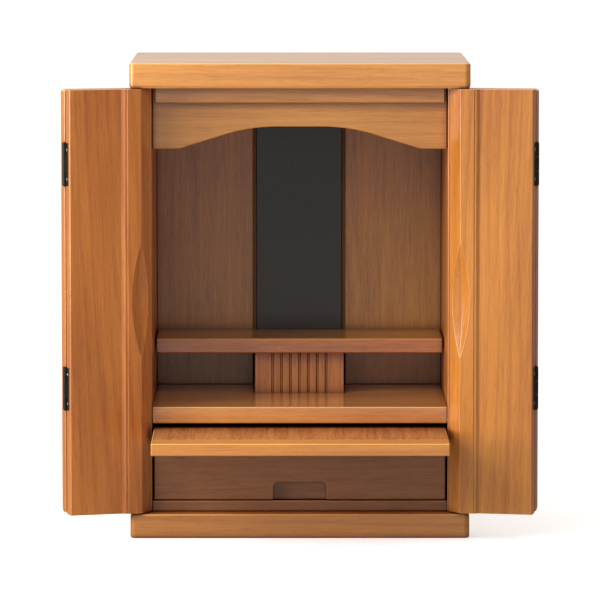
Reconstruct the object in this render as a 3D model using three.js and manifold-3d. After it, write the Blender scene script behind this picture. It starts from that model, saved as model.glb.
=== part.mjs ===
// Household altar cabinet: a small wooden cabinet with two pairs of folding doors, a niche with
// two shelf levels, a slide-out tray and a drawer. It stands with its doors open and its tray out.
// Millimetres. +X is the viewer's right, +Y the back, +Z up. Origin: centre of the underside.
import * as THREE from 'three';
import { mergeVertices } from 'three/addons/utils/BufferGeometryUtils.js';
import Module from 'manifold-3d';

const wasm = await Module();
wasm.setup();

// Overall sizes and clearances
const overallHeight = 485;
const overallDepth = 260;
const plateWidth = 346;
const topPlateThickness = 25;
const basePlateThickness = 25;
const plateCornerRadius = 6;
const plateEase = 2.2;
const boardEase = 0.8;
const fitGap = 0.3;

// Carcass: the sides stand between the two plates, behind the closed doors
const carcassWidth = 330;
const sideThickness = 14;
const sideSetback = 20;
const rearSetback = 0.5;
const interiorSetback = 2;

// Back wall: an outer board, two wood panels and a black centre panel set deeper between them
const backBoardThickness = 3.2;
const backPanelThickness = 8;
const centrePanelWidth = 91;
const centrePanelThickness = 5;
const centreGrooveWidth = 3.4;

// Shelves
const mainShelfTop = 132.4;
const mainShelfThickness = 17;
const upperShelfTop = 191.2;
const upperShelfThickness = 15;
const upperShelfDepth = 107;
const upperShelfEndGap = 1.5;

// Riser that carries the upper shelf, with vertical grooves in its front
const riserWidth = 92.4;
const riserDepth = 60;
const riserSetback = 17;
const grooveCount = 7;
const groovePitch = 9.32;
const grooveWidth = 3;
const grooveDepth = 2;

// Head of the niche: the strip that the doors close against, and the arched valance behind it
const headerHeight = 16.2;
const headerThickness = 14;
const headerEndGap = 3.5;
const valanceThickness = 10;
const valanceEndHeight = 64;
const valanceFlatLength = 28;
const valanceShoulder = 77;
const crownHalfFlat = 22;
const crownRadius = 185;

// Slide-out tray below the main shelf, a board with a cross rail at its front
const trayThickness = 12.5;
const trayGapAbove = 4.7;
const traySideGap = 1.9;
const trayRearGap = 9.3;
const trayRailWidth = 35;
const trayOut = 140;
const dividerThickness = 9.4;

// Drawer and the board that it runs on
const bottomBoardThickness = 10.7;
const drawerFrontThickness = 14;
const drawerFrontGap = 2;
const drawerFrontLift = 2;
const drawerFrontTopGap = 1;
const drawerWallThickness = 9;
const drawerFloorThickness = 4;
const drawerSideGap = 2.3;
const drawerSideHeight = 46;
const drawerRearGap = 22.3;
const drawerRunGap = 0.4;
const fingerPocketWidth = 55;
const fingerPocketHeight = 17.6;
const fingerPocketDepth = 7.5;
const fingerPocketRadius = 6.5;

// Door leaves: the outer leaf hangs on the side panel, the inner leaf folds in front of it
const leafThickness = 14;
const outerLeafWidth = 74.8;
const outerLeafCornerRadius = 3;
const doorGapBelow = 3;
const doorGapAbove = 1.5;
const doorCentreGap = 0.7;
const closedGapToSide = 2;
const pivotOutset = 1;
const foldGap = 5.6;
const foldEdgeGap = 0.75;
const openAngleLeft = 162.4;
const openAngleRight = 167.1;

// Inner leaf: a raised stile with a stepped moulding, a bevelled free edge and a finger pull
const stileRaise = 3;
const stileWidth = 13.9;
const mouldingWidth = 7;
const mouldingStepWidth = 1.2;
const mouldingStepHeight = 1.1;
const edgeBevelWidth = 13.6;
const edgeLand = 2;
const pullDepth = 11;
const pullHalfLength = 59;
const pullWallSlope = 1.12;
const pullSegments = 180;

// Butt hinges: knuckles on the pivot line, plates let into the wood
const hingeLength = 43;
const hingeTopOffset = 75.8;
const hingeBottomOffset = 126.3;
const hingePlateThickness = 1.2;
const hingePlateProud = 0.3;
const sidePlateWidth = 9;
const foldPlateWidth = 8.7;
const sideKnuckleRadius = 2;
const foldKnuckleRadius = 2.5;
const knuckleGap = 0.3;
const knuckleSegments = 20;

// Levels and faces that follow from the sizes above
const frontFace = -overallDepth / 2;
const rearFace = overallDepth / 2 - rearSetback;
const baseTop = basePlateThickness;
const topPlateUnderside = overallHeight - topPlateThickness;
const sideFront = frontFace + sideSetback;
const innerFront = sideFront + interiorSetback;
const carcassHalf = carcassWidth / 2;
const insideHalf = carcassHalf - sideThickness;
const fitHalf = insideHalf - fitGap;
const backBoardFront = rearFace - backBoardThickness;
const backPanelRear = backBoardFront - fitGap;
const backPanelFront = backPanelRear - backPanelThickness;
const shelfRear = backPanelFront - fitGap;
const nicheHalf = centrePanelWidth / 2 + centreGrooveWidth;
const mainShelfUnderside = mainShelfTop - mainShelfThickness;
const upperShelfUnderside = upperShelfTop - upperShelfThickness;
const upperShelfFront = shelfRear - upperShelfDepth;
const trayTop = mainShelfUnderside - trayGapAbove;
const trayBottom = trayTop - trayThickness;
const dividerTop = trayBottom - fitGap;
const dividerBottom = dividerTop - dividerThickness;
const trayRear = backBoardFront - trayRearGap;
const drawerRear = backBoardFront - drawerRearGap;
const bottomBoardTop = baseTop + fitGap + bottomBoardThickness;
const doorBottom = baseTop + doorGapBelow;
const doorTop = topPlateUnderside - doorGapAbove;
const doorMiddle = (doorTop + doorBottom) / 2;
const innerLeafWidth = carcassHalf - outerLeafWidth - 2 * foldEdgeGap - doorCentreGap;
const foldDistance = pivotOutset + outerLeafWidth + foldEdgeGap;
const hingeLevels = { upper: doorTop - hingeTopOffset, lower: doorBottom + hingeBottomOffset };

// Colours of the finishes
const honeyWood = 0xc98a4e;
const doorWood = 0xbd7c45;
const walnutWood = 0x8a6242;
const drawerWood = 0x7a5238;
const plainWood = 0xb58a5c;
const blackLacquer = 0x2c2a27;
const darkBronze = 0x2a241d;

// A closed geometry as a solid, and a solid as a geometry
function solidOf(geometry) {
  const bare = geometry.clone();
  bare.deleteAttribute('normal');
  bare.deleteAttribute('uv');
  const merged = mergeVertices(bare, 1e-4);
  const vertProperties = new Float32Array(merged.attributes.position.array);
  const triVerts = new Uint32Array(merged.index.array);
  return new wasm.Manifold(new wasm.Mesh({ numProp: 3, vertProperties, triVerts }));
}

function geometryOf(solid) {
  const mesh = solid.getMesh();
  const geometry = new THREE.BufferGeometry();
  const positions = new THREE.BufferAttribute(new Float32Array(mesh.vertProperties), 3);
  geometry.setAttribute('position', positions);
  geometry.setIndex(new THREE.BufferAttribute(new Uint32Array(mesh.triVerts), 1));
  geometry.computeVertexNormals();
  return geometry;
}

function cut(geometry, cutters) {
  let solid = solidOf(geometry);
  for (const cutter of cutters) {
    solid = solid.subtract(solidOf(cutter));
  }
  return geometryOf(solid);
}

function join(geometries) {
  let solid = solidOf(geometries[0]);
  for (const geometry of geometries.slice(1)) {
    solid = solid.add(solidOf(geometry));
  }
  return geometryOf(solid);
}

// A plain block between two corners, given in any order
function block(a, b) {
  const low = new THREE.Vector3(...a).min(new THREE.Vector3(...b));
  const high = new THREE.Vector3(...a).max(new THREE.Vector3(...b));
  const size = high.clone().sub(low);
  const middle = high.clone().add(low).multiplyScalar(0.5);
  return new THREE.BoxGeometry(size.x, size.y, size.z).translate(middle.x, middle.y, middle.z);
}

// Turns an extrusion so that it runs along a named axis. Its outline is then drawn in (x, y) for
// 'z', in (y, z) for 'x' and in (z, x) for 'y'.
function runAlong(geometry, axis) {
  const x = new THREE.Vector3(1, 0, 0);
  const y = new THREE.Vector3(0, 1, 0);
  const z = new THREE.Vector3(0, 0, 1);
  const basis = { x: [y, z, x], y: [z, x, y], z: [x, y, z] }[axis];
  return geometry.applyMatrix4(new THREE.Matrix4().makeBasis(...basis));
}

// Extrudes an outline along an axis from one level to another, with eased end edges
function extrudeAlong(shape, axis, from, to, ease, curveSegments = 6) {
  const geometry = new THREE.ExtrudeGeometry(shape, {
    depth: to - from - 2 * ease,
    bevelEnabled: ease > 0,
    bevelThickness: ease,
    bevelSize: ease,
    bevelOffset: -ease,
    bevelSegments: ease > 1 ? 3 : 1,
    curveSegments,
  });
  geometry.translate(0, 0, from + ease);
  return runAlong(geometry, axis);
}

function roundedOutline(left, right, bottom, top, radius) {
  const shape = new THREE.Shape();
  shape.moveTo(left + radius, bottom);
  shape.lineTo(right - radius, bottom);
  shape.absarc(right - radius, bottom + radius, radius, -Math.PI / 2, 0, false);
  shape.lineTo(right, top - radius);
  shape.absarc(right - radius, top - radius, radius, 0, Math.PI / 2, false);
  shape.lineTo(left + radius, top);
  shape.absarc(left + radius, top - radius, radius, Math.PI / 2, Math.PI, false);
  shape.lineTo(left, bottom + radius);
  shape.absarc(left + radius, bottom + radius, radius, Math.PI, Math.PI * 1.5, false);
  return shape;
}

// A board between two corners, cut square, with eased edges; axis is its thin direction
function board(a, b, axis, ease = boardEase) {
  const drawn = { x: [1, 2], y: [2, 0], z: [0, 1] }[axis];
  const thin = { x: 0, y: 1, z: 2 }[axis];
  const outline = new THREE.Shape();
  const [u, v] = drawn;
  outline.moveTo(a[u] + ease, a[v]);
  outline.lineTo(b[u] - ease, a[v]);
  outline.lineTo(b[u], a[v] + ease);
  outline.lineTo(b[u], b[v] - ease);
  outline.lineTo(b[u] - ease, b[v]);
  outline.lineTo(a[u] + ease, b[v]);
  outline.lineTo(a[u], b[v] - ease);
  outline.lineTo(a[u], a[v] + ease);
  return extrudeAlong(outline, axis, a[thin], b[thin], ease * 0.999);
}

function upright(radius, bottom, top, x = 0, y = 0) {
  const geometry = new THREE.CylinderGeometry(radius, radius, top - bottom, knuckleSegments);
  geometry.rotateX(Math.PI / 2);
  return geometry.translate(x, y, (top + bottom) / 2);
}

function piece(name, geometry, color, roughness = 0.45, metalness = 0) {
  const material = new THREE.MeshStandardMaterial({ color, roughness, metalness });
  const mesh = new THREE.Mesh(geometry, material);
  mesh.name = name;
  return mesh;
}

// Top and base plates, with rounded upright corners and eased edges
function plate(name, bottom, top) {
  const half = plateWidth / 2;
  const outline = roundedOutline(-half, half, frontFace, overallDepth / 2, plateCornerRadius);
  return piece(name, extrudeAlong(outline, 'z', bottom, top, plateEase), honeyWood, 0.35);
}

// Side panel, with a seat for each hinge plate and a relief for its knuckle
function sidePanel(name, side) {
  const outer = side * carcassHalf;
  const inner = side * insideHalf;
  const low = [Math.min(outer, inner), sideFront, baseTop + fitGap];
  const high = [Math.max(outer, inner), rearFace, topPlateUnderside - fitGap];
  const pivot = sidePivot(side);
  const seatDepth = hingePlateThickness - hingePlateProud + fitGap;
  const cutters = [];
  for (const level of Object.values(hingeLevels)) {
    const bottom = level - hingeLength / 2 - fitGap;
    const top = level + hingeLength / 2 + fitGap;
    const seatInner = pivot.x - side * (sideKnuckleRadius + fitGap + sidePlateWidth + fitGap);
    cutters.push(block([outer + side, sideFront - 1, bottom], [seatInner, sideFront + seatDepth, top]));
    cutters.push(upright(sideKnuckleRadius + fitGap, bottom, top, pivot.x, pivot.y));
  }
  return piece(name, cut(board(low, high, 'x'), cutters), doorWood);
}

function backWall() {
  const bottom = baseTop + fitGap;
  const top = topPlateUnderside - fitGap;
  const parts = [];
  const rear = board([-fitHalf, backBoardFront, bottom], [fitHalf, rearFace, top], 'y', 0.4);
  parts.push(piece('back_board', rear, plainWood, 0.7));
  const low = [-fitHalf, backPanelFront, mainShelfTop + fitGap];
  const high = [-nicheHalf, backPanelRear, top];
  parts.push(piece('back_panel_left', board(low, high, 'y', 0.6), walnutWood, 0.5));
  const lowRight = [nicheHalf, backPanelFront, mainShelfTop + fitGap];
  const highRight = [fitHalf, backPanelRear, top];
  parts.push(piece('back_panel_right', board(lowRight, highRight, 'y', 0.6), walnutWood, 0.5));
  const half = centrePanelWidth / 2;
  const lowCentre = [-half, backPanelRear - centrePanelThickness, mainShelfTop + fitGap];
  const centre = board(lowCentre, [half, backPanelRear, top], 'y', 0.6);
  parts.push(piece('back_panel_centre', centre, blackLacquer, 0.25));
  return parts;
}

// Riser: a block whose front carries evenly spaced upright grooves
function shelfRiser() {
  const half = riserWidth / 2;
  const front = upperShelfFront + riserSetback;
  const outline = new THREE.Shape();
  outline.moveTo(-half, front + riserDepth);
  outline.lineTo(-half, front);
  for (let index = 0; index < grooveCount; index += 1) {
    const middle = (index - (grooveCount - 1) / 2) * groovePitch;
    outline.lineTo(middle - grooveWidth / 2, front);
    outline.lineTo(middle - grooveWidth / 4, front + grooveDepth);
    outline.lineTo(middle + grooveWidth / 4, front + grooveDepth);
    outline.lineTo(middle + grooveWidth / 2, front);
  }
  outline.lineTo(half, front);
  outline.lineTo(half, front + riserDepth);
  const geometry = extrudeAlong(outline, 'z', mainShelfTop + fitGap, upperShelfUnderside - fitGap, 0);
  return piece('shelf_riser', geometry, walnutWood, 0.5);
}

// Valance: its lower edge is level at the ends, climbs a straight ramp and rounds into the crown
function valance() {
  const half = insideHalf - 2 * fitGap;
  const top = topPlateUnderside - fitGap;
  const endLevel = top - valanceEndHeight;
  const rampStart = insideHalf - valanceFlatLength;
  const shoulderAngle = Math.asin((valanceShoulder - crownHalfFlat) / crownRadius);
  const shoulderLevel = endLevel + (rampStart - valanceShoulder) * Math.tan(shoulderAngle);
  const crownLevel = shoulderLevel + crownRadius * (1 - Math.cos(shoulderAngle));
  const outline = new THREE.Shape();
  const right = Math.PI / 2;
  outline.moveTo(top, -half);
  outline.lineTo(endLevel, -half);
  outline.lineTo(endLevel, -rampStart);
  outline.lineTo(shoulderLevel, -valanceShoulder);
  outline.absarc(crownLevel - crownRadius, -crownHalfFlat, crownRadius, -shoulderAngle, 0, false);
  outline.absarc(crownLevel - crownRadius, crownHalfFlat, crownRadius, 0, shoulderAngle, false);
  outline.lineTo(endLevel, rampStart);
  outline.lineTo(endLevel, half);
  outline.lineTo(top, half);
  const front = innerFront + headerThickness + fitGap;
  const geometry = extrudeAlong(outline, 'y', front, front + valanceThickness, boardEase, 10);
  return piece('valance', geometry, honeyWood);
}

// Tray in its pushed-in place; its group draws it out
function slideTray() {
  const half = insideHalf - traySideGap;
  const railRear = innerFront + trayRailWidth;
  const rail = board([-half, innerFront, trayBottom], [half, railRear, trayTop], 'z');
  const low = [-half, railRear + fitGap, trayBottom];
  const field = board(low, [half, trayRear, trayTop], 'z');
  const group = new THREE.Group();
  group.add(piece('slide_tray_rail', rail, honeyWood, 0.35));
  group.add(piece('slide_tray_board', field, honeyWood, 0.4));
  group.position.y = -trayOut;
  return group;
}

// Finger pocket in the drawer front: round upper corners, open below
function fingerPocket(frontBottom) {
  const half = fingerPocketWidth / 2;
  const radius = fingerPocketRadius;
  const top = frontBottom + fingerPocketHeight;
  const outline = new THREE.Shape();
  outline.moveTo(frontBottom - 1, -half);
  outline.lineTo(frontBottom - 1, half);
  outline.lineTo(top - radius, half);
  outline.absarc(top - radius, half - radius, radius, Math.PI / 2, 0, true);
  outline.absarc(top - radius, -half + radius, radius, 0, -Math.PI / 2, true);
  return extrudeAlong(outline, 'y', innerFront - 1, innerFront + fingerPocketDepth, 0, 8);
}

function drawer() {
  const bottom = bottomBoardTop + drawerRunGap;
  const frontBottom = bottomBoardTop + drawerFrontLift;
  const frontHalf = insideHalf - drawerFrontGap;
  const frontRear = innerFront + drawerFrontThickness;
  const half = insideHalf - drawerSideGap;
  const inner = half - drawerWallThickness;
  const boxFront = frontRear + fitGap;
  const top = bottom + drawerSideHeight;
  const low = [-frontHalf, innerFront, frontBottom];
  const slab = board(low, [frontHalf, frontRear, dividerBottom - drawerFrontTopGap], 'y');
  const group = new THREE.Group();
  group.add(piece('drawer_front', cut(slab, [fingerPocket(frontBottom)]), drawerWood));
  for (const [name, side] of [['drawer_side_left', -1], ['drawer_side_right', 1]]) {
    const a = [Math.min(side * half, side * inner), boxFront, bottom];
    const b = [Math.max(side * half, side * inner), drawerRear, top];
    group.add(piece(name, board(a, b, 'x', 0.5), plainWood, 0.7));
  }
  const backFront = drawerRear - drawerWallThickness;
  const backLow = [-inner + fitGap, backFront, bottom];
  group.add(piece('drawer_back', board(backLow, [inner - fitGap, drawerRear, top], 'y', 0.5), plainWood, 0.7));
  const floorLow = [-inner + fitGap, boxFront, bottom];
  const floorHigh = [inner - fitGap, backFront - fitGap, bottom + drawerFloorThickness];
  group.add(piece('drawer_bottom', board(floorLow, floorHigh, 'z', 0.4), plainWood, 0.7));
  return group;
}

// Pivot line of a door on its side panel
function sidePivot(side) {
  return new THREE.Vector2(side * (carcassHalf + pivotOutset), sideFront - closedGapToSide / 2);
}

// Half of a butt hinge. The plate lies along the leaf from the knuckle; it owns the outer
// knuckles or the middle one. Drawn with its pivot at the origin and its plate towards +X, then
// handed over by the caller.
function hingeHalf(level, radius, plateStart, plateEnd, faceAt, outerKnuckles) {
  const bottom = level - hingeLength / 2;
  const third = hingeLength / 3;
  const spans = outerKnuckles
    ? [[bottom, bottom + third - knuckleGap], [bottom + 2 * third + knuckleGap, bottom + hingeLength]]
    : [[bottom + third, bottom + 2 * third]];
  const near = faceAt;
  const far = faceAt + hingePlateThickness;
  const parts = [block([plateStart, near, bottom], [plateEnd, far, bottom + hingeLength])];
  for (const [from, to] of spans) {
    parts.push(upright(radius, from, to));
    parts.push(block([0, near, from], [plateStart + 0.5, far, to]));
  }
  return join(parts);
}

// The mirror image across the YZ plane, with its faces turned the right way out again
function mirrored(geometry) {
  const image = geometry.clone().scale(-1, 1, 1);
  const corners = image.index.array;
  for (let at = 0; at < corners.length; at += 3) {
    [corners[at + 1], corners[at + 2]] = [corners[at + 2], corners[at + 1]];
  }
  image.computeVertexNormals();
  return image;
}

// Door geometry is drawn for the left-hand pair and mirrored for the right-hand one
function handed(geometry, hand) {
  return hand > 0 ? geometry : mirrored(geometry);
}

// Outer leaf in the frame of its side pivot: it runs to +X, its back faces +Y
function outerLeaf(hand) {
  const near = pivotOutset;
  const far = near + outerLeafWidth;
  const back = -closedGapToSide / 2;
  const outline = roundedOutline(doorBottom, doorTop, near, far, outerLeafCornerRadius);
  const slab = extrudeAlong(outline, 'y', back - leafThickness, back, boardEase, 3);
  const seat = hingePlateThickness - hingePlateProud + fitGap;
  const foldBack = back - foldPlateWidth - fitGap;
  const seatEnd = sideKnuckleRadius + fitGap + sidePlateWidth + fitGap;
  const cutters = [];
  for (const level of Object.values(hingeLevels)) {
    const bottom = level - hingeLength / 2 - fitGap;
    const top = level + hingeLength / 2 + fitGap;
    cutters.push(block([near - 1, back - seat, bottom], [seatEnd, back + 1, top]));
    cutters.push(upright(sideKnuckleRadius + fitGap, bottom, top));
    cutters.push(block([far - seat, foldBack, bottom], [far + 1, back + 1, top]));
  }
  return handed(cut(slab, cutters), hand);
}

// Inner leaf in the frame of the fold line: it runs to +X, its back faces +Y
function innerLeaf(hand) {
  const back = -foldGap / 2;
  const near = foldEdgeGap;
  const far = near + innerLeafWidth;
  const stileEnd = far - edgeBevelWidth;
  const stileStart = stileEnd - stileWidth;
  const panelEnd = stileStart - mouldingWidth;
  const stepWidth = mouldingStepWidth;
  const panelFront = back - leafThickness;
  const stileFront = panelFront - stileRaise;
  const outline = new THREE.Shape();
  outline.moveTo(near, back);
  outline.lineTo(near, panelFront + boardEase);
  outline.lineTo(near + boardEase, panelFront);
  outline.lineTo(panelEnd, panelFront);
  outline.lineTo(panelEnd + stepWidth, panelFront - mouldingStepHeight);
  outline.lineTo(stileStart - stepWidth, stileFront + mouldingStepHeight);
  outline.lineTo(stileStart, stileFront);
  outline.lineTo(stileEnd, stileFront);
  outline.lineTo(far, back - edgeLand);
  outline.lineTo(far, back);
  const slab = extrudeAlong(outline, 'z', doorBottom, doorTop, 0);
  const radius = (pullHalfLength ** 2 + pullDepth ** 2) / (2 * pullDepth);
  const axisAt = stileFront + pullDepth - radius;
  const seat = hingePlateThickness - hingePlateProud + fitGap;
  const cutters = pullCutters(radius, stileEnd, far).map((cutter) => cutter.translate(0, axisAt, doorMiddle));
  for (const level of Object.values(hingeLevels)) {
    const bottom = level - hingeLength / 2 - fitGap;
    const top = level + hingeLength / 2 + fitGap;
    cutters.push(block([near - 1, back - foldPlateWidth - fitGap, bottom], [near + seat, back + 1, top]));
  }
  return handed(cut(slab, cutters), hand);
}

// The finger pull is the sweep of a round cutter with a sloped flank, laid across the stile
function pullCutters(radius, stileEnd, far) {
  const coneLength = (pullDepth / pullWallSlope) * 1.2;
  const coneSmall = radius - coneLength * pullWallSlope;
  const overrun = 2;
  const cone = new THREE.CylinderGeometry(radius, coneSmall, coneLength, pullSegments);
  const drum = new THREE.CylinderGeometry(radius, radius, far - stileEnd + overrun, pullSegments);
  cone.rotateZ(-Math.PI / 2).translate(stileEnd - coneLength / 2, 0, 0);
  drum.rotateZ(-Math.PI / 2).translate((stileEnd + far + overrun) / 2, 0, 0);
  return [cone, drum];
}

// Hinge half on the side panel, in the frame of the pivot, with the plate on the panel's front
function sideHinge(level, hand) {
  const start = sideKnuckleRadius + fitGap;
  const face = closedGapToSide / 2 - hingePlateProud;
  return handed(hingeHalf(level, sideKnuckleRadius, start, start + sidePlateWidth, face, true), hand);
}

// The other half of that hinge, on the back of the outer leaf
function leafHinge(level, hand) {
  const start = sideKnuckleRadius + fitGap;
  const face = -closedGapToSide / 2 + hingePlateProud - hingePlateThickness;
  return handed(hingeHalf(level, sideKnuckleRadius, start, start + sidePlateWidth, face, false), hand);
}

// Fold hinge half on a leaf's edge, in the frame of the fold line. side is -1 on the outer leaf,
// whose edge lies to -X, and 1 on the inner leaf.
function foldHinge(level, hand, side) {
  const start = foldGap / 2;
  const near = foldEdgeGap - hingePlateProud;
  const half = hingeHalf(level, foldKnuckleRadius, start, start + foldPlateWidth, near, side < 0);
  half.rotateZ(-Math.PI / 2);
  const geometry = side > 0 ? half : mirrored(half);
  return handed(geometry, hand);
}

// A folding pair: the outer leaf turns on its side pivot, the inner leaf is folded back on it
function doorPair(label, side, openAngle) {
  const hand = -side;
  const turn = side * THREE.MathUtils.degToRad(openAngle);
  const pivot = sidePivot(side);
  const outer = new THREE.Group();
  outer.position.set(pivot.x, pivot.y, 0);
  outer.rotation.z = turn;
  outer.add(piece(`outer_leaf_${label}`, outerLeaf(hand), doorWood));
  const inner = new THREE.Group();
  inner.position.set(hand * foldDistance, foldGap / 2 - closedGapToSide / 2, 0);
  inner.rotation.z = Math.PI;
  inner.add(piece(`inner_leaf_${label}`, innerLeaf(hand), doorWood));
  outer.add(inner);
  const fixed = new THREE.Group();
  fixed.position.copy(outer.position);
  for (const [height, level] of Object.entries(hingeLevels)) {
    const tag = `${label}_${height}`;
    fixed.add(piece(`side_hinge_${tag}`, sideHinge(level, hand), darkBronze, 0.4, 0.9));
    outer.add(piece(`leaf_hinge_${tag}`, leafHinge(level, hand), darkBronze, 0.4, 0.9));
    const outerHalf = foldHinge(level, hand, -1).translate(...inner.position.toArray());
    outer.add(piece(`fold_hinge_outer_${tag}`, outerHalf, darkBronze, 0.4, 0.9));
    inner.add(piece(`fold_hinge_inner_${tag}`, foldHinge(level, hand, 1), darkBronze, 0.4, 0.9));
  }
  return [outer, fixed];
}

const cabinet = new THREE.Group();
cabinet.add(plate('base_plinth', 0, baseTop));
cabinet.add(plate('top_plate', topPlateUnderside, overallHeight));
cabinet.add(sidePanel('side_panel_left', -1));
cabinet.add(sidePanel('side_panel_right', 1));
cabinet.add(...backWall());

const headerHalf = insideHalf - headerEndGap;
const headerTop = topPlateUnderside - fitGap;
const headerLow = [-headerHalf, innerFront, headerTop - headerHeight];
const headerHigh = [headerHalf, innerFront + headerThickness, headerTop];
cabinet.add(piece('header_strip', board(headerLow, headerHigh, 'y'), honeyWood));
cabinet.add(valance());

const mainLow = [-fitHalf, innerFront, mainShelfUnderside];
const mainShelf = board(mainLow, [fitHalf, shelfRear, mainShelfTop], 'z');
cabinet.add(piece('main_shelf', mainShelf, honeyWood, 0.3));
const upperHalf = insideHalf - upperShelfEndGap;
const upperLow = [-upperHalf, upperShelfFront, upperShelfUnderside];
const upperShelf = board(upperLow, [upperHalf, shelfRear, upperShelfTop], 'z');
cabinet.add(piece('upper_shelf', upperShelf, walnutWood, 0.3));
cabinet.add(shelfRiser());

const dividerLow = [-fitHalf, innerFront, dividerBottom];
const divider = board(dividerLow, [fitHalf, shelfRear, dividerTop], 'z');
cabinet.add(piece('drawer_divider', divider, drawerWood));
const bottomLow = [-fitHalf, innerFront, baseTop + fitGap];
const bottomBoard = board(bottomLow, [fitHalf, shelfRear, bottomBoardTop], 'z');
cabinet.add(piece('bottom_board', bottomBoard, drawerWood));

cabinet.add(slideTray());
cabinet.add(drawer());
cabinet.add(...doorPair('left', -1, openAngleLeft));
cabinet.add(...doorPair('right', 1, openAngleRight));

export default cabinet;
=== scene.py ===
# Household altar cabinet: the visible model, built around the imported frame, in metres.
# +X is the viewer's right, +Y the back, +Z up.
import math

import bmesh
import bpy
from mathutils import Matrix, Vector


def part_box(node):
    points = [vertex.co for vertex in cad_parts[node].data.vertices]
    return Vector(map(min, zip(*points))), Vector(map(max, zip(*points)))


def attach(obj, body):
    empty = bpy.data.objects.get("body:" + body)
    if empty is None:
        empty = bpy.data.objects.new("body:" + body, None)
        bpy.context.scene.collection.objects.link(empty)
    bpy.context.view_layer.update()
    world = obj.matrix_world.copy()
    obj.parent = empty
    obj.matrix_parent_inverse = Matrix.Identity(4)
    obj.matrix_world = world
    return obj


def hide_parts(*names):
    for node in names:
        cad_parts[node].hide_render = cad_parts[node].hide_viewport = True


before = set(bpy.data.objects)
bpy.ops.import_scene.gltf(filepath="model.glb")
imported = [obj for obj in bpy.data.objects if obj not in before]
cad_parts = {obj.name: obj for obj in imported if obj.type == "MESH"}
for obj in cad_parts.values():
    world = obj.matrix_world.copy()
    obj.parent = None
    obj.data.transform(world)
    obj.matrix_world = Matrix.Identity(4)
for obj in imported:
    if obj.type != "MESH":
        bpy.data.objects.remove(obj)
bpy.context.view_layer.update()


MM = 0.001

# Camera, fitted to the photograph
CAMERA_PLACE = (-0.0193, -5.4913, 0.7179)
CAMERA_PITCH = math.radians(5.05)
CAMERA_YAW = math.radians(0.207)
CAMERA_LENS = 317.8
CAMERA_SENSOR = 36.0
CAMERA_REACH = 200.0

# Studio light. Soft boxes: place, size and watts. Distant lights: compass angle from the front, with
# the viewer's left negative, height angle, breadth and strength. Then the room's own level.
SOFT_BOXES = {
    "side_box": ((-2.0, -0.8, 0.5), 0.8, 35.0),
    "upper_box": ((-1.6, -1.6, 1.3), 0.8, 21.0),
    "front_box": ((0.0, -2.5, 0.5), 1.5, 7.5),
    "top_box": ((0.0, -1.0, 1.2), 0.6, 2.3),
    "near_box": ((-0.5, -1.4, 0.9), 0.5, 2.0),
}
DISTANT = {
    "window_left": (-70, 35, 25, 0.26),
    "window_front": (-38, 35, 25, 0.12),
    "window_right": (50, 60, 25, 0.29),
}
# Room light below and above the horizon, in front of the object and behind it
ROOM_FRONT = (0.46, 0.03)
ROOM_BACK = (0.2, 0.85)
ROOM_RAMP = 0.05
ROOM_COLOUR = (1.0, 0.975, 0.93, 1.0)
FLOOR_GLOW = 0.5
FLOOR_RADIUS = 60.0
FLOOR_CORNERS = 96
FLOOR_TONES = ((246, 246, 246), (250, 250, 250))
FLOOR_SCALE = 3.0
FLOOR_ROUGHNESS = 0.8
SUN_DISTANCE = 5.0
LIGHT_AIM = (0.0, -0.1, 0.25)

# Doors, with the same sizes as the solids: where each one turns, how far it is open, where it folds
DOORS = {
    "left": dict(hand=1, pivot=(-166.0 * MM, -111.0 * MM), turn=math.radians(-162.4)),
    "right": dict(hand=-1, pivot=(166.0 * MM, -111.0 * MM), turn=math.radians(167.1)),
}
FOLD_LINE = (76.55 * MM, 1.8 * MM)
HINGE_LEVELS = {"upper": 382.7 * MM, "lower": 154.3 * MM}

# Inner leaf, measured from the fold line along the leaf and from its pivot towards the viewer
PANEL_END = 54.25 * MM
MOULDING_END = 61.25 * MM
PANEL_FRONT = 16.8 * MM
STILE_RAISE = 3.0 * MM
# Moulding between panel and stile, in millimetres: way from the panel's end, height over the panel
MOULDING_PROFILE = (
    (0.7, 0.08), (1.5, 0.25), (2.2, 0.6), (2.8, 1.1), (3.5, 1.75), (4.1, 2.15), (4.6, 2.3),
    (6.1, 2.3), (6.35, 2.36), (6.7, 2.8),
)

# The inner leaf's edges: rounding of the ridge along the stile, and of all the others
RIDGE_START = MOULDING_END + 1.0 * MM
RIDGE_DEPTH = PANEL_FRONT - 9.0 * MM
RIDGE_ROUNDING = 1.3 * MM
RIDGE_SEGMENTS = 4
RIDGE_ANGLE = math.radians(16)
LEAF_ROUNDING = 0.3 * MM
LEAF_ANGLE = math.radians(28)

# Hinge pins: length of a hinge, radius of the pin heads, and the domed head as share of the radius
# and height over the knuckles
HINGE_LENGTH = 43.0 * MM
PIN_RADII = {"side_hinge": 1.2 * MM, "fold_hinge_outer": 1.7 * MM}
PIN_DOME = ((0.8, -0.1 * MM), (0.9, 0.1 * MM), (1.0, 0.35 * MM), (0.95, 0.75 * MM), (0.6, 1.05 * MM))
PIN_CORNERS = 20

# Hinge screws, on the plate's middle line. The head's rim: share of the radius, and height. The cross
# recess: reach and half width of an arm as shares of the radius, then the recess's depth and taper.
SCREW_RADIUS = 1.55 * MM
SCREW_OFFSET = 15.0 * MM
SCREW_RIM = ((1.0, -0.1 * MM), (1.0, 0.1 * MM), (0.88, 0.2 * MM))
SCREW_CORNERS = 24
CROSS_ARM = 0.62
CROSS_WAIST = 0.16
CROSS_FLOOR = -0.05 * MM
CROSS_TAPER = 0.7
SCREW_TWISTS = (0.5, 1.6)
# Place of the screws' line from the pivot, in millimetres, on the side plates and the fold plates
SIDE_SCREWS = (6.8, 0.7)
FOLD_SCREWS = (0.45, 7.15)
PLATE_ROUNDING = 0.15 * MM

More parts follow.
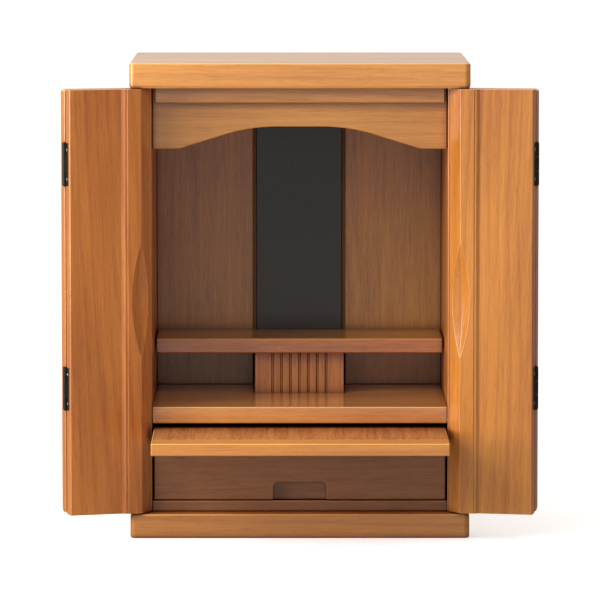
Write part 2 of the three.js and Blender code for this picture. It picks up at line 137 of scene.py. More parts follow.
# Rounding of every board: edges sharper than this are rounded with so many segments
SHARP = math.radians(24)
SEGMENTS = 2
# Corners of a solid's mesh closer than this are one, and flatter bends than these are none
SAME_PLACE = 2e-6
FLAT = math.radians(0.4)
LEAF_FLAT = math.radians(0.3)
# Leeway for corners on the moulding's border, and for a cut through a corner
LEEWAY = 1e-6
CUT_LEEWAY = 1e-7

# Ends of the boards that are drawn out: axis, then side. Fixed boards close their fitting gap, and the
# joints below the wider ones are as narrow as in the photograph. Corners this near to an end move.
FIT_GAP = 0.3 * MM
END_DEPTH = 0.9 * MM
CLOSED_ENDS = {
    "side_panel_left": ((2, -1), (2, 1)),
    "side_panel_right": ((2, -1), (2, 1)),
    "back_board": ((0, -1), (0, 1), (2, -1), (2, 1)),
    "back_panel_left": ((0, -1), (2, -1), (2, 1)),
    "back_panel_right": ((0, 1), (2, -1), (2, 1)),
    "back_panel_centre": ((2, -1), (2, 1)),
    "header_strip": ((2, 1),),
    "valance": ((2, 1),),
    "main_shelf": ((0, -1), (0, 1), (1, 1)),
    "drawer_divider": ((0, -1), (0, 1), (1, 1)),
    "bottom_board": ((0, -1), (0, 1), (1, 1), (2, -1)),
    "shelf_riser": ((2, -1), (2, 1)),
    "slide_tray_board": ((1, -1),),
    "drawer_front": ((2, -1),),
    "top_plate": ((2, -1),),
    "outer_leaf_left": ((2, -1),),
    "outer_leaf_right": ((2, -1),),
    "inner_leaf_left": ((2, -1),),
    "inner_leaf_right": ((2, -1),),
}
WIDER_ENDS = {
    "drawer_front": 1.0 * MM,
    "top_plate": 1.0 * MM,
    "outer_leaf_left": 2.0 * MM,
    "outer_leaf_right": 2.0 * MM,
    "inner_leaf_left": 2.0 * MM,
    "inner_leaf_right": 2.0 * MM,
}

# Boards with another look than their slot's, and each board's own share of red, green and blue. These
# shares are partly the boards' own tones and partly painted shade: the base, the header strip, the
# valance and the left inner leaf are darkened for the shade they lie in.
LOOKS = {"slide_tray_board": "tray_wood"}
PLAIN_TONE = (1.0, 1.0, 1.0)
BOARD_TONES_AND_SHADE = {
    "base_plinth": (0.87, 0.84, 0.81),
    "header_strip": (0.90, 0.91, 0.89),
    "valance": (0.88, 0.89, 0.87),
    "main_shelf": (0.96, 0.95, 0.86),
    "upper_shelf": (1.03, 0.9, 0.42),
    "shelf_riser": (1.1, 1.06, 0.96),
    "inner_leaf_left": (0.97, 0.94, 0.92),
    "inner_leaf_right": (1.01, 1.05, 1.03),
    "slide_tray_rail": (0.98, 0.94, 0.88),
    "back_panel_left": (0.93, 0.93, 0.64),
    "back_panel_right": (0.99, 1.0, 0.66),
}

# Painted light on the faces that look one way: painted sheen on the tops of the shelves and the tray's
# rail and on the left inner leaf's faces to the right, painted shade on the right leaves' faces to the
# right. The direction they look in, and their share of red, green and blue
PAINTED_FACE_LIGHT = {
    "main_shelf": ((0.0, 0.0, 1.0), (1.24, 1.42, 2.5)),
    "upper_shelf": ((0.0, 0.0, 1.0), (1.06, 1.7, 5.0)),
    "slide_tray_rail": ((0.0, 0.0, 1.0), (1.32, 1.45, 1.8)),
    "inner_leaf_left": ((1.0, 0.0, 0.0), (1.1, 1.4, 2.9)),
    "inner_leaf_right": ((1.0, 0.0, 0.0), (0.95, 0.62, 0.35)),
    "outer_leaf_right": ((1.0, 0.0, 0.0), (0.95, 0.62, 0.35)),
}

# Boards with their own clear coat: its strength and roughness
SHINE = {
    "main_shelf": (0.8, 0.1),
    "upper_shelf": (0.6, 0.08),
    "valance": (0.25, 0.2),
}

# Wooden pieces: node, body, slot, grain direction, rounding in millimetres
WOOD_PIECES = (
    ("base_plinth", "carcass", "honey_wood", "x", 0.5),
    ("top_plate", "carcass", "honey_wood", "x", 0.5),
    ("side_panel_left", "carcass", "door_wood", "z", 0.4),
    ("side_panel_right", "carcass", "door_wood", "z", 0.4),
    ("back_board", "carcass", "plain_wood", "z", 0.2),
    ("back_panel_left", "carcass", "walnut_wood", "z", 0.3),
    ("back_panel_right", "carcass", "walnut_wood", "z", 0.3),
    ("header_strip", "carcass", "honey_wood", "x", 0.4),
    ("valance", "carcass", "honey_wood", "x", 0.4),
    ("main_shelf", "carcass", "honey_wood", "x", 0.4),
    ("upper_shelf", "carcass", "walnut_wood", "x", 0.4),
    ("shelf_riser", "carcass", "walnut_wood", "z", 0.3),
    ("drawer_divider", "carcass", "drawer_wood", "x", 0.4),
    ("bottom_board", "carcass", "drawer_wood", "x", 0.4),
    ("slide_tray_rail", "slide_tray", "honey_wood", "x", 0.5),
    ("slide_tray_board", "slide_tray", "honey_wood", "y", 0.4),
    ("drawer_front", "drawer", "drawer_wood", "x", 0.4),
    ("drawer_side_left", "drawer", "plain_wood", "y", 0.3),
    ("drawer_side_right", "drawer", "plain_wood", "y", 0.3),
    ("drawer_back", "drawer", "plain_wood", "x", 0.3),
    ("drawer_bottom", "drawer", "plain_wood", "x", 0.2),
    ("outer_leaf_left", "outer_door_left", "door_wood", "z", 0.4),
    ("outer_leaf_right", "outer_door_right", "door_wood", "z", 0.4),
)
LACQUER_ROUNDING = 0.3 * MM
FIRST_LEAF_SEED = 41

# Wood figure
# Each board's part of the log: turn from board to board, distance of the pith, step along the log, and
# how far the log leans and how often that changes with the turn
BOARD_TURN = 2.399
PITH_DISTANCE = 0.16
LOG_STEP = 0.37
LEAN = (0.035, 0.05)
LEAN_TURNS = (1.7, 1.3)
# Growth rings: how many to a metre, how much their round shape and their width vary, and how slowly
RINGS_PER_METRE = 85.0
SWAY = 0.05
SWAY_SCALE = 9.0
UNEVEN = 2.6
UNEVEN_SCALE = 14.0
SLOW_ALONG = 0.16
LATE_WOOD = 0.8
# Marks drawn out along the grain: share of their length, noise scale and detail
FIBRE = (0.035, 1100.0, 2.0)
PORES = (0.06, 1500.0, 1.0)
STREAKS = (0.02, 230.0, 4.0)
CLOUDS = (0.22, 12.0, 2.0)
PORE_LEVELS = (0.12, 0.2)
MARK_ROUGHNESS = 0.55
MIDDLE_TONE = 0.4
# The surface is rougher where the fibres are high: levels of the fibre, and what they add
FIBRE_LEVELS = (-0.2, 0.2)
FIBRE_GLOSS = (-0.05, 0.07)
# Faces count as looking in a direction between these shares
FACING = (0.45, 0.7)
# Painted highlight and wear: share of the eased edges that face up, a painted highlight of light from
# above, and of every edge, partly wear and partly painted highlight, and the gain and lift of the tone.
# An edge faces up between the first two heights of its normal, and is level past the next two.
RIM_HIGHLIGHT = 0.7
RIM_UPWARD = (0.3, 0.55)
RIM_LEVEL = (0.98, 0.9)
EDGE_WEAR_AND_HIGHLIGHT = 0.3
EDGE_REACH = 1.2 * MM
EDGE_TURN = (0.995, 0.86)
WEAR_AND_HIGHLIGHT_GAIN = 1.12
WEAR_AND_HIGHLIGHT_LIFT = 40
# Painted shade in joints, recesses and under overhangs: how narrow they are, and its share of red,
# green and blue
SHADE_REACH = 9.0 * MM
SHADE_OPENNESS = (0.35, 0.95)
PAINTED_SHADE_TINT = (0.4, 0.27, 0.18, 1.0)
WHITE = (1.0, 1.0, 1.0, 1.0)
COAT_ROUGHNESS = 0.16
WOOD_IOR = 1.48
WOOD_RELIEF = (0.15, 0.2 * MM)

# Lacquer: scale, detail and roughness of its two kinds of noise, its dark and light tone, the lighter
# tone at its foot with the heights where it starts and is full, the tone of rubbed edges and how far
# they are rubbed, and the relief's strength and depth
LACQUER_GRAIN = (700.0, 2.0, 0.6)
LACQUER_CLOUD = (9.0, 2.0, 0.5)
LACQUER_DARK = (23, 19, 14)
LACQUER_LIGHT = (31, 26, 20)
FOOT_TONE = (46, 38, 28)
FOOT_HEIGHTS = (0.33, 0.19)
LACQUER_RUBBED = (92, 86, 76)
LACQUER_WEAR = 0.4
LACQUER_REACH = 0.8 * MM
LACQUER_GLOSS = (0.27, 0.31)
LACQUER_RELIEF = (0.01, 0.1 * MM)
LACQUER_IOR = 1.4

# Metals: name, dark and light tone, roughness. Then what both have.
PLATE_METAL = ("dark_bronze_plate", (30, 27, 23), (58, 53, 46), 0.42)
SCREW_METAL = ("pale_screw", (150, 146, 138), (196, 190, 180), 0.35)
METAL_CLOUD = (240.0, 4.0, 0.6)
METAL_GLOSS = (-0.06, 0.08)
METAL_WEAR = 0.5
METAL_REACH = 0.6 * MM
METAL_RELIEF = (0.15, 0.1 * MM)
METALLIC = 0.85
# Noise turns into roughness between these levels
NOISE_LEVELS = (0.3, 0.7)

# What each finish looks like: light and dark tone, strength of rings, streaks, clouds, fibres and
# pores, roughness and clear coat, and the reach of its painted shade in joints and recesses where it
# isn't the common one
WOODS = {
    "honey_wood": dict(light=(236, 160, 72), dark=(186, 112, 42), ring=0.28, streak=0.8, cloud=1.4,
                       fibre=0.8, pore=0.25, rough=0.34, coat=0.45),
    "door_wood": dict(light=(222, 140, 58), dark=(168, 92, 32), ring=0.3, streak=0.7, cloud=1.7,
                      fibre=0.8, pore=0.25, rough=0.36, coat=0.4),
    "walnut_wood": dict(light=(192, 129, 66), dark=(134, 82, 40), ring=0.2, streak=1.0, cloud=1.0,
                        fibre=1.0, pore=0.35, rough=0.38, coat=0.22),
    "drawer_wood": dict(light=(163, 102, 52), dark=(118, 70, 34), ring=0.15, streak=0.8, cloud=1.0,
                        fibre=0.8, pore=0.3, rough=0.4, coat=0.15, reach=3.5 * MM),
    "tray_wood": dict(light=(240, 156, 84), dark=(158, 84, 46), ring=0.1, streak=1.9, cloud=0.8,
                      fibre=1.4, pore=0.3, rough=0.34, coat=0.45),
    "plain_wood": dict(light=(206, 164, 112), dark=(170, 124, 78), ring=0.3, streak=0.8, cloud=0.8,
                       fibre=0.6, pore=0.2, rough=0.6, coat=0.0),
}
GRAIN_TURNS = {
    "z": (0.0, 0.0, 0.0),
    "x": (0.0, math.radians(90), 0.0),
    "y": (math.radians(90), 0.0, 0.0),
}


# Node helpers


class Nodes:
    """A short way to write a material's node tree."""

    def __init__(self, material):
        material.use_nodes = True
        self.tree = material.node_tree
        self.tree.nodes.clear()

    def add(self, kind, inputs=None, **settings):
        node = self.tree.nodes.new(kind)
        for key, value in settings.items():
            setattr(node, key, value)
        for key, value in (inputs or {}).items():
            self.set(node, key, value)
        return node

    def set(self, node, key, value):
        socket = node.inputs[key]
        if isinstance(value, bpy.types.NodeSocket):
            self.tree.links.new(value, socket)
        else:
            socket.default_value = value

    def math(self, operation, a, b=0.0, clamp=False):
        node = self.add("ShaderNodeMath", operation=operation, use_clamp=clamp)
        self.set(node, 0, a)
        self.set(node, 1, b)
        return node.outputs[0]

    def vector(self, operation, a, b=(0.0, 0.0, 0.0)):
        node = self.add("ShaderNodeVectorMath", operation=operation)
        self.set(node, 0, a)
        self.set(node, 1, b)
        return node

    def noise(self, vector, scale, detail=2.0, roughness=0.5):
        node = self.add("ShaderNodeTexNoise", {
            "Vector": vector, "Scale": scale, "Detail": detail, "Roughness": roughness})
        return node.outputs["Fac"]

    def mix(self, factor, a, b, blend="MIX"):
        node = self.add("ShaderNodeMix", data_type="RGBA", blend_type=blend)
        self.set(node, "Factor", factor)
        self.set(node, 6, a)
        self.set(node, 7, b)
        return node.outputs[2]

    def span(self, value, low, high, to_low=0.0, to_high=1.0):
        node = self.add("ShaderNodeMapRange", {
            "Value": value, "From Min": low, "From Max": high,
            "To Min": to_low, "To Max": to_high})
        return node.outputs[0]

    def part(self, vector, axis):
        """One part of a vector: X, Y or Z."""
        return self.add("ShaderNodeSeparateXYZ", {"Vector": vector}).outputs[axis]

    def crevice(self, reach):
        """1 on open ground, less in corners, joints and recesses that are narrower than the reach."""
        node = self.add("ShaderNodeAmbientOcclusion", {"Distance": reach}, samples=6)
        return node.outputs["AO"]

    def edge_mask(self, radius):
        """1 where the surface turns within the radius, 0 on flat ground."""
        bevel = self.add("ShaderNodeBevel", {"Radius": radius}, samples=4)
        normal = self.add("ShaderNodeNewGeometry").outputs["Normal"]
        dot = self.vector("DOT_PRODUCT", bevel.outputs[0], normal).outputs["Value"]
        return self.span(dot, *EDGE_TURN)

    def finish(self, colour, roughness, height, strength, depth):
        """Ends the tree in a surface with a fine relief, and returns its shader node."""
        bump = self.add("ShaderNodeBump", {"Height": height, "Strength": strength, "Distance": depth})
        shader = self.add("ShaderNodeBsdfPrincipled", {
            "Base Color": colour, "Roughness": roughness, "Normal": bump.outputs[0]})
        out = self.add("ShaderNodeOutputMaterial")
        self.tree.links.new(shader.outputs[0], out.inputs[0])
        return shader


def srgb(red, green, blue):
    """A colour given as 0..255 screen values, in Blender's linear form."""
    def linear(value):
        value /= 255
        return value / 12.92 if value <= 0.04045 else ((value + 0.055) / 1.055) ** 2.4
    return (linear(red), linear(green), linear(blue), 1.0)


# Materials


def wood_material(wood, grain, seed, tone, face_light, shine):
    """Lacquered wood, solid through the board: growth rings round a pith that lies off the board.

    The faces of the board that look along one direction can be given another tone, as a painted sheen
    or painted shade, and the strength and roughness of the clear coat can differ from the wood's own.
    """
    look = WOODS[wood]
    light = [value * share for value, share in zip(look["light"], tone)]
    dark = [value * share for value, share in zip(look["dark"], tone)]
    material = bpy.data.materials.new(f"{wood}_{grain}_{seed}")
    nodes = Nodes(material)
    place = nodes.add("ShaderNodeTexCoord").outputs["Object"]
    # Turn the grain along Z, then shift each board to its own part of the log
    turned = nodes.add("ShaderNodeMapping", {
        "Vector": place, "Rotation": GRAIN_TURNS[grain]}, vector_type="POINT").outputs[0]
    angle = seed * BOARD_TURN
    shift = (PITH_DISTANCE * math.cos(angle), PITH_DISTANCE * math.sin(angle), LOG_STEP * seed)
    lean = (
        LEAN[0] * math.cos(angle * LEAN_TURNS[0]), LEAN[1] * math.sin(angle * LEAN_TURNS[1]), 0.0)
    log = nodes.add("ShaderNodeMapping", {
        "Vector": turned, "Location": shift, "Rotation": lean}).outputs[0]
    slow = nodes.vector("MULTIPLY", log, (1.0, 1.0, SLOW_ALONG)).outputs[0]
    sway = nodes.math("MULTIPLY", nodes.math("SUBTRACT", nodes.noise(slow, SWAY_SCALE), 0.5), SWAY)
    flat = nodes.vector("MULTIPLY", log, (1.0, 1.0, 0.0)).outputs[0]
    radius = nodes.math("ADD", nodes.vector("LENGTH", flat).outputs["Value"], sway)
    # Rings of uneven width, each rising slowly and ending in a darker line
    uneven = nodes.math("MULTIPLY", nodes.noise(slow, UNEVEN_SCALE), UNEVEN)
    growth = nodes.math(
        "FRACT", nodes.math("ADD", nodes.math("MULTIPLY", radius, RINGS_PER_METRE), uneven))
    late = nodes.math(
        "MULTIPLY", nodes.math("POWER", growth, 2.0), nodes.span(growth, LATE_WOOD, 1.0, 1.0, 0.0))

    def drawn_out(along, scale, detail):
        """Noise around zero, stretched along the grain."""
        stretched = nodes.vector("MULTIPLY", log, (1.0, 1.0, along)).outputs[0]
        return nodes.math("SUBTRACT", nodes.noise(stretched, scale, detail, MARK_ROUGHNESS), 0.5)

    fibre = drawn_out(*FIBRE)
    parts = (
        (late, look["ring"]),
        (drawn_out(*STREAKS), look["streak"]),
        (drawn_out(*CLOUDS), look["cloud"]),
        (fibre, look["fibre"]),
        (nodes.span(drawn_out(*PORES), *PORE_LEVELS), look["pore"]),
    )
    amount = MIDDLE_TONE
    for part, strength in parts:
        amount = nodes.math("ADD", nodes.math("MULTIPLY", part, strength), amount)
    amount = nodes.math("MULTIPLY", amount, 1.0, clamp=True)
    colour = nodes.mix(amount, srgb(*light), srgb(*dark))
    # Painted light: faces that look one way get a painted sheen or painted shade
    if face_light:
        direction, share = face_light
        outward = nodes.add("ShaderNodeTexCoord").outputs["Normal"]
        facing = nodes.vector("DOT_PRODUCT", outward, direction).outputs["Value"]
        other = nodes.mix(1.0, colour, (*share, 1.0), "MULTIPLY")
        colour = nodes.mix(nodes.span(facing, *FACING), colour, other)
    # Edges are made lighter: the eased edges that face up most, as a painted highlight of light from
    # above, and every edge a little, partly as wear and partly as painted highlight
    upward = nodes.part(nodes.add("ShaderNodeNewGeometry").outputs["Normal"], "Z")
    rim = nodes.math("MULTIPLY", nodes.span(upward, *RIM_UPWARD), nodes.span(upward, *RIM_LEVEL))
    edges = nodes.math("MULTIPLY", nodes.edge_mask(EDGE_REACH), EDGE_WEAR_AND_HIGHLIGHT)
    worn = nodes.math("ADD", nodes.math("MULTIPLY", rim, RIM_HIGHLIGHT), edges, clamp=True)
    paler = [min(255, value * WEAR_AND_HIGHLIGHT_GAIN + WEAR_AND_HIGHLIGHT_LIFT) for value in light]
    colour = nodes.mix(worn, colour, srgb(*paler))
    # Painted shade: the colour is darker in joints, recesses and under overhangs, where less light
    # reaches
    openness = nodes.span(nodes.crevice(look.get("reach", SHADE_REACH)), *SHADE_OPENNESS)
    colour = nodes.mix(1.0, colour, nodes.mix(openness, PAINTED_SHADE_TINT, WHITE), "MULTIPLY")
    rough = nodes.span(fibre, *FIBRE_LEVELS, *[look["rough"] + more for more in FIBRE_GLOSS])
    shader = nodes.finish(colour, rough, fibre, *WOOD_RELIEF)
    coat, coat_roughness = shine or (look["coat"], COAT_ROUGHNESS)
    shader.inputs["Coat Weight"].default_value = coat
    shader.inputs["Coat Roughness"].default_value = coat_roughness
    shader.inputs["IOR"].default_value = WOOD_IOR
    return material


def lacquer_material():
    """Black satin lacquer over a close-grained board."""
    material = bpy.data.materials.new("black_lacquer_panel")
    nodes = Nodes(material)
    place = nodes.add("ShaderNodeTexCoord").outputs["Object"]
    grain = nodes.noise(place, *LACQUER_GRAIN)
    cloud = nodes.noise(place, *LACQUER_CLOUD)
    colour = nodes.mix(cloud, srgb(*LACQUER_DARK), srgb(*LACQUER_LIGHT))
    # The panel turns lighter and browner towards its foot, above the shelf
    toward_foot = nodes.span(nodes.part(place, "Z"), *FOOT_HEIGHTS)
    colour = nodes.mix(toward_foot, colour, srgb(*FOOT_TONE))
    worn = nodes.math("MULTIPLY", nodes.edge_mask(LACQUER_REACH), LACQUER_WEAR)
    colour = nodes.mix(worn, colour, srgb(*LACQUER_RUBBED))
    rough = nodes.span(grain, *NOISE_LEVELS, *LACQUER_GLOSS)
    shader = nodes.finish(colour, rough, grain, *LACQUER_RELIEF)
    shader.inputs["IOR"].default_value = LACQUER_IOR
    return material


def metal_material(name, dark, light, roughness):
    """Plated metal, uneven in tone, rubbed brighter along its edges."""
    material = bpy.data.materials.new(name)
    nodes = Nodes(material)
    place = nodes.add("ShaderNodeTexCoord").outputs["Object"]
    cloud = nodes.noise(place, *METAL_CLOUD)
    colour = nodes.mix(cloud, srgb(*dark), srgb(*light))
    rubbed = [min(255, value * 2) for value in light]
    worn = nodes.math("MULTIPLY", nodes.edge_mask(METAL_REACH), METAL_WEAR)
    colour = nodes.mix(worn, colour, srgb(*rubbed))
    rough = nodes.span(cloud, *NOISE_LEVELS, *[roughness + more for more in METAL_GLOSS])
    shader = nodes.finish(colour, rough, cloud, *METAL_RELIEF)
    shader.inputs["Metallic"].default_value = METALLIC
    return material


# Mesh helpers


def new_object(name, mesh_data, material):
    """A finished mesh as an object of the scene."""
    mesh = bpy.data.meshes.new(name)
    mesh_data.to_mesh(mesh)
    mesh_data.free()
    mesh.materials.append(material)
    thing = bpy.data.objects.new(name, mesh)
    bpy.context.scene.collection.objects.link(thing)
    return thing


def cleaned(node):
    """A node's solid as whole flat faces, ready to be rounded."""
    work = bmesh.new()
    work.from_mesh(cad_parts[node].data)
    bmesh.ops.remove_doubles(work, verts=work.verts, dist=SAME_PLACE)
    bmesh.ops.dissolve_limit(work, angle_limit=FLAT, verts=work.verts, edges=work.edges)
    return work


def soften(work, width, segments=SEGMENTS, sharp=SHARP, chosen=None):
    """Rounds the edges between faces that meet at more than the sharp angle."""
    work.normal_update()
    edges = [e for e in work.edges if e.is_manifold and e.calc_face_angle(0.0) > sharp]
    if chosen:
        edges = [e for e in edges if chosen(e)]
    bmesh.ops.bevel(
        work, geom=edges, offset=width, segments=segments, profile=0.5,
        affect="EDGES", clamp_overlap=True, loop_slide=True)
    for face in work.faces:
        face.smooth = True


def close_gaps(work, node):
    """Draws a board out over its gap, so that the joint is as narrow as in the photograph."""
    low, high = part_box(node)
    for axis, end in CLOSED_ENDS.get(node, ()):
        limit = (high if end > 0 else low)[axis]
        for vert in work.verts:
            if abs(vert.co[axis] - limit) < END_DEPTH:
                vert.co[axis] += end * WIDER_ENDS.get(node, FIT_GAP)


def settle(thing, body, node):
    """Puts a finished piece on its body, in the place of a node where it has one."""
    normals = thing.modifiers.new("weighted normals", "WEIGHTED_NORMAL")
    normals.keep_sharp = False
    normals.weight = 100
    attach(thing, body)
    if node:
        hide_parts(node)
    return thing


def dress(node, body, material, width):
    """A rounded copy of a node's solid, with its own material."""
    work = cleaned(node)
    close_gaps(work, node)
    soften(work, width)
    thing = new_object(f"{node}_finished", work, material)
    return settle(thing, body, node)


# Doors


def turning_frame(side):
    """From the outer leaf's own frame, as drawn for the left, to the object's frame."""
    door = DOORS[side]
    return Matrix.Translation((*door["pivot"], 0.0)) @ Matrix.Rotation(door["turn"], 4, "Z")


def fold_frame(side, inner):
    """Frame of a leaf at the fold line: X runs away from the fold in the inner leaf."""
    hand = DOORS[side]["hand"]
    place = turning_frame(side) @ Matrix.Translation((hand * FOLD_LINE[0], FOLD_LINE[1], 0.0))
    if inner:
        place = place @ Matrix.Rotation(math.pi, 4, "Z")
    return place @ Matrix.Diagonal((hand, 1.0, 1.0, 1.0))


def moulding_height(along):
    """Height of the moulding over the panel, along the leaf."""
    way = (along - PANEL_END) / MM
    foot = (0.0, 0.0)
    top = ((MOULDING_END - PANEL_END) / MM, STILE_RAISE / MM)
    points = (foot, *MOULDING_PROFILE, top)
    for (start, low), (end, high) in zip(points, points[1:]):
        if way <= end:
            return (low + (high - low) * (way - start) / (end - start)) * MM
    return STILE_RAISE


def dress_inner_leaf(side, material):
    """Inner leaf with its moulding, a rounded ridge along the stile and a soft-edged finger pull."""
    node = f"inner_leaf_{side}"
    leaf_frame = fold_frame(side, inner=True)
    work = cleaned(node)
    close_gaps(work, node)
    bmesh.ops.transform(work, matrix=leaf_frame.inverted(), verts=work.verts)
    if DOORS[side]["hand"] < 0:
        bmesh.ops.reverse_faces(work, faces=work.faces)
    for way, _ in MOULDING_PROFILE:
        plane = Vector((PANEL_END + way * MM, 0.0, 0.0))
        bmesh.ops.bisect_plane(
            work, geom=work.verts[:] + work.edges[:] + work.faces[:], dist=CUT_LEEWAY,
            plane_co=plane, plane_no=(1.0, 0.0, 0.0))
    for vert in work.verts:
        along_moulding = PANEL_END + LEEWAY < vert.co.x < MOULDING_END - LEEWAY
        if along_moulding and vert.co.y < -PANEL_FRONT + LEEWAY:
            vert.co.y = -PANEL_FRONT - moulding_height(vert.co.x)
    bmesh.ops.dissolve_limit(work, angle_limit=LEAF_FLAT, verts=work.verts, edges=work.edges)

    def on_the_ridge(edge):
        return all(v.co.x > RIDGE_START and v.co.y < -RIDGE_DEPTH for v in edge.verts)

    soften(work, RIDGE_ROUNDING, RIDGE_SEGMENTS, RIDGE_ANGLE, on_the_ridge)
    soften(work, LEAF_ROUNDING, sharp=LEAF_ANGLE)
    if DOORS[side]["hand"] < 0:
        bmesh.ops.reverse_faces(work, faces=work.faces)
    bmesh.ops.transform(work, matrix=leaf_frame, verts=work.verts)
    thing = new_object(f"{node}_finished", work, material)
    return settle(thing, f"inner_door_{side}", node)


# Hinges


def circle(work, radius, height, corners, middle=(0.0, 0.0)):
    """The corners of a level circle."""
    return [work.verts.new((
        middle[0] + radius * math.cos(math.tau * i / corners),
        middle[1] + radius * math.sin(math.tau * i / corners), height)) for i in range(corners)]


def skin(work, lower, upper):
    """A wall of faces between two rows of corners."""
    for i, corner in enumerate(lower):
        j = (i + 1) % len(lower)
        work.faces.new((corner, lower[j], upper[j], upper[i]))


def screw_head():
    """Countersunk screw head with a cross recess, its axis along Z and its rim at the origin."""
    work = bmesh.new()
    rims = [circle(work, share * SCREW_RADIUS, height, SCREW_CORNERS) for share, height in SCREW_RIM]
    for lower, upper in zip(rims, rims[1:]):
        skin(work, lower, upper)
    work.faces.new(list(reversed(rims[0])))
    arm = CROSS_ARM * SCREW_RADIUS
    waist = CROSS_WAIST * SCREW_RADIUS
    outline = []
    for quarter in range(4):
        turn = Matrix.Rotation(math.tau * quarter / 4, 3, "Z")
        for x, y in ((waist, waist), (arm, waist), (arm, -waist)):
            outline.append(turn.inverted() @ Vector((x, y, 0.0)))
    head_height = SCREW_RIM[-1][1]
    top = [work.verts.new((v.x, v.y, head_height)) for v in outline]
    deep = [work.verts.new((v.x * CROSS_TAPER, v.y * CROSS_TAPER, CROSS_FLOOR)) for v in outline]
    edges = [work.edges.new(pair) for pair in zip(top, top[1:] + top[:1])]
    edges += [e for e in work.edges if all(v in rims[-1] for v in e.verts)]
    bmesh.ops.triangle_fill(work, use_beauty=True, use_dissolve=False, edges=edges)
    skin(work, top, deep)
    work.faces.new(deep)
    bmesh.ops.recalc_face_normals(work, faces=work.faces)
    return work


def add_screws(name, body, place, normal, material):
    """Two screws on a hinge plate: place gives their spot for a level, normal points out of the plate."""
    work = bmesh.new()
    turn = normal.to_track_quat("Z", "Y").to_matrix().to_4x4()
    for twist, offset in zip(SCREW_TWISTS, (-SCREW_OFFSET, SCREW_OFFSET)):
        head = screw_head()
        spot = Matrix.Translation(place + Vector((0.0, 0.0, offset)))
        spot = spot @ turn @ Matrix.Rotation(twist, 4, "Z")
        bmesh.ops.transform(head, matrix=spot, verts=head.verts)
        part = bpy.data.meshes.new("head")
        head.to_mesh(part)
        head.free()
        work.from_mesh(part)
        bpy.data.meshes.remove(part)
    settle(new_object(name, work, material), body, None)


def add_pins(name, body, pivot, level, radius, material):
    """The two domed ends of a hinge pin, which stand out above and below the knuckles."""
    work = bmesh.new()
    for end in (-1, 1):
        rings = [
            circle(work, share * radius, level + end * (HINGE_LENGTH / 2 + height), PIN_CORNERS, pivot)
            for share, height in PIN_DOME]
        for lower, upper in zip(rings, rings[1:]):
            skin(work, lower, upper)
        work.faces.new(rings[0])
        work.faces.new(rings[-1])
    bmesh.ops.recalc_face_normals(work, faces=work.faces)
    for face in work.faces:
        face.smooth = True
    settle(new_object(name, work, material), body, None)


def add_hinges(bronze, steel):
    """All hinge halves, each with its two screws, and a pin in one half of each hinge."""
    side_x, side_y = SIDE_SCREWS
    fold_x, fold_y = FOLD_SCREWS
    for side, door in DOORS.items():
        hand = Matrix.Diagonal((door["hand"], 1.0, 1.0, 1.0))
        fixed = Matrix.Translation((*door["pivot"], 0.0)) @ hand
        turning = turning_frame(side) @ hand
        outer, inner = fold_frame(side, False), fold_frame(side, True)
        outer_body, inner_body = f"outer_door_{side}", f"inner_door_{side}"
        # kind, body, frame, screw's place on the plate, direction out of the plate
        halves = (
            ("side_hinge", "carcass", fixed, (side_x, side_y), (0.0, -1.0, 0.0)),
            ("leaf_hinge", outer_body, turning, (side_x, -side_y), (0.0, 1.0, 0.0)),
            ("fold_hinge_outer", outer_body, outer, (-fold_x, -fold_y), (1.0, 0.0, 0.0)),
            ("fold_hinge_inner", inner_body, inner, (fold_x, -fold_y), (-1.0, 0.0, 0.0)),
        )
        for level, height in HINGE_LEVELS.items():
            for kind, body, place, (x, y), out in halves:
                node = f"{kind}_{side}_{level}"
                dress(node, body, bronze, PLATE_ROUNDING)
                spot = place @ Vector((x * MM, y * MM, height))
                add_screws(f"{node}_screws", body, spot, place.to_3x3() @ Vector(out), steel)
                if kind in PIN_RADII:
                    pivot = place @ Vector((0.0, 0.0, 0.0))
                    add_pins(f"{node}_pins", body, pivot, height, PIN_RADII[kind], bronze)


# Scene


def make_camera():
    """The photograph's camera."""
    data = bpy.data.cameras.new("camera")
    data.lens = CAMERA_LENS
    data.sensor_width = CAMERA_SENSOR
    data.clip_end = CAMERA_REACH
    camera = bpy.data.objects.new("camera", data)
    camera.location = CAMERA_PLACE
    camera.rotation_euler = (math.radians(90) - CAMERA_PITCH, 0.0, -CAMERA_YAW)
    bpy.context.scene.collection.objects.link(camera)
    bpy.context.scene.camera = camera


def make_light(name, kind, place, energy, **settings):
    """A light that looks at the middle of the object."""
    data = bpy.data.lights.new(name, kind)
    data.energy = energy
    for key, value in settings.items():
        setattr(data, key, value)
    light = bpy.data.objects.new(name, data)
    light.location = place
    light.rotation_euler = (Vector(LIGHT_AIM) - Vector(place)).to_track_quat("-Z", "Y").to_euler()
    bpy.context.scene.collection.objects.link(light)


def make_world():
    """The room: dim in front above, lifted by the floor in front below, bright behind the object."""
    world = bpy.data.worlds.new("studio")
    world.use_nodes = True
    tree = world.node_tree
    parts = tree.nodes.new("ShaderNodeSeparateXYZ")
    tree.links.new(tree.nodes.new("ShaderNodeTexCoord").outputs["Generated"], parts.inputs[0])

    def step(axis, below, above):
        """One level below the middle of an axis and another above it, with a short ramp."""
        node = tree.nodes.new("ShaderNodeMapRange")
        tree.links.new(parts.outputs[axis], node.inputs["Value"])
        node.inputs["From Min"].default_value = -ROOM_RAMP
        node.inputs["From Max"].default_value = ROOM_RAMP
        for key, value in (("To Min", below), ("To Max", above)):
            if isinstance(value, bpy.types.NodeSocket):
                tree.links.new(value, node.inputs[key])
            else:
                node.inputs[key].default_value = value
        return node.outputs[0]

    level = step("Y", step("Z", *ROOM_FRONT), step("Z", *ROOM_BACK))
    tree.links.new(level, tree.nodes["Background"].inputs["Strength"])
    tree.nodes["Background"].inputs["Color"].default_value = ROOM_COLOUR
    bpy.context.scene.world = world


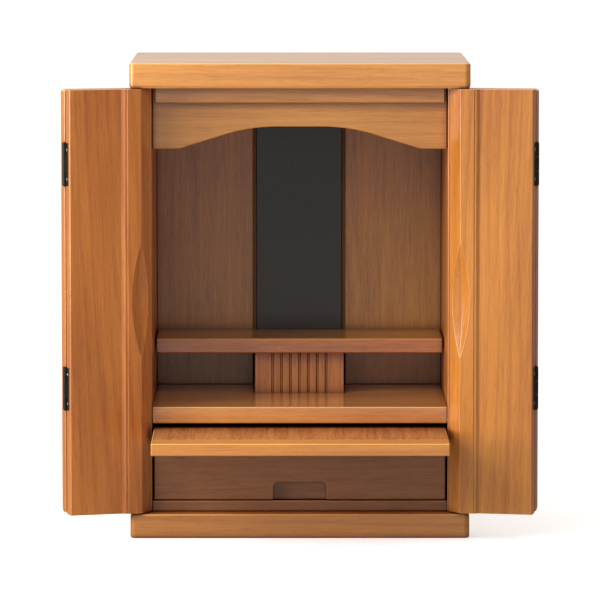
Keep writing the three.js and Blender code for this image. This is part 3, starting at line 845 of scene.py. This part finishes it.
def make_floor():
    """A pale floor that catches the object's shadow and doesn't tint it."""
    floor = bmesh.new()
    bmesh.ops.create_circle(floor, cap_ends=True, radius=FLOOR_RADIUS, segments=FLOOR_CORNERS)
    material = bpy.data.materials.new("pale_floor")
    nodes = Nodes(material)
    place = nodes.add("ShaderNodeTexCoord").outputs["Object"]
    low, high = (srgb(*tone) for tone in FLOOR_TONES)
    colour = nodes.mix(nodes.noise(place, FLOOR_SCALE), low, high)
    shader = nodes.add("ShaderNodeBsdfPrincipled", {"Base Color": colour})
    shader.inputs["Roughness"].default_value = FLOOR_ROUGHNESS
    shader.inputs["Emission Color"].default_value = WHITE
    shader.inputs["Emission Strength"].default_value = FLOOR_GLOW
    out = nodes.add("ShaderNodeOutputMaterial")
    nodes.tree.links.new(shader.outputs[0], out.inputs[0])
    stage = new_object("floor", floor, material)
    stage.visible_diffuse = False
    stage.visible_glossy = False


def make_studio():
    """Soft boxes on the viewer's left and in front, three distant windows, room and floor."""
    bpy.context.scene.view_settings.view_transform = "Standard"
    for name, (place, size, watts) in SOFT_BOXES.items():
        make_light(name, "AREA", place, watts, shape="SQUARE", size=size)
    for name, (compass, height, breadth, strength) in DISTANT.items():
        around = math.radians(compass)
        up = math.radians(height)
        away = Vector((math.sin(around) * math.cos(up), -math.cos(around) * math.cos(up), math.sin(up)))
        place = Vector(LIGHT_AIM) + SUN_DISTANCE * away
        make_light(name, "SUN", place, strength, angle=math.radians(breadth))
    make_world()
    make_floor()


make_camera()
make_studio()
for seed, (node, body, slot, grain, rounding) in enumerate(WOOD_PIECES, start=1):
    wood = wood_material(
        LOOKS.get(node, slot), grain, seed, BOARD_TONES_AND_SHADE.get(node, PLAIN_TONE), PAINTED_FACE_LIGHT.get(node),
        SHINE.get(node))
    dress(node, body, wood, rounding * MM)
dress("back_panel_centre", "carcass", lacquer_material(), LACQUER_ROUNDING)
for seed, side in enumerate(DOORS, start=FIRST_LEAF_SEED):
    leaf = f"inner_leaf_{side}"
    wood = wood_material(
        "door_wood", "z", seed, BOARD_TONES_AND_SHADE.get(leaf, PLAIN_TONE), PAINTED_FACE_LIGHT.get(leaf), SHINE.get(leaf))
    dress_inner_leaf(side, wood)
add_hinges(metal_material(*PLATE_METAL), metal_material(*SCREW_METAL))
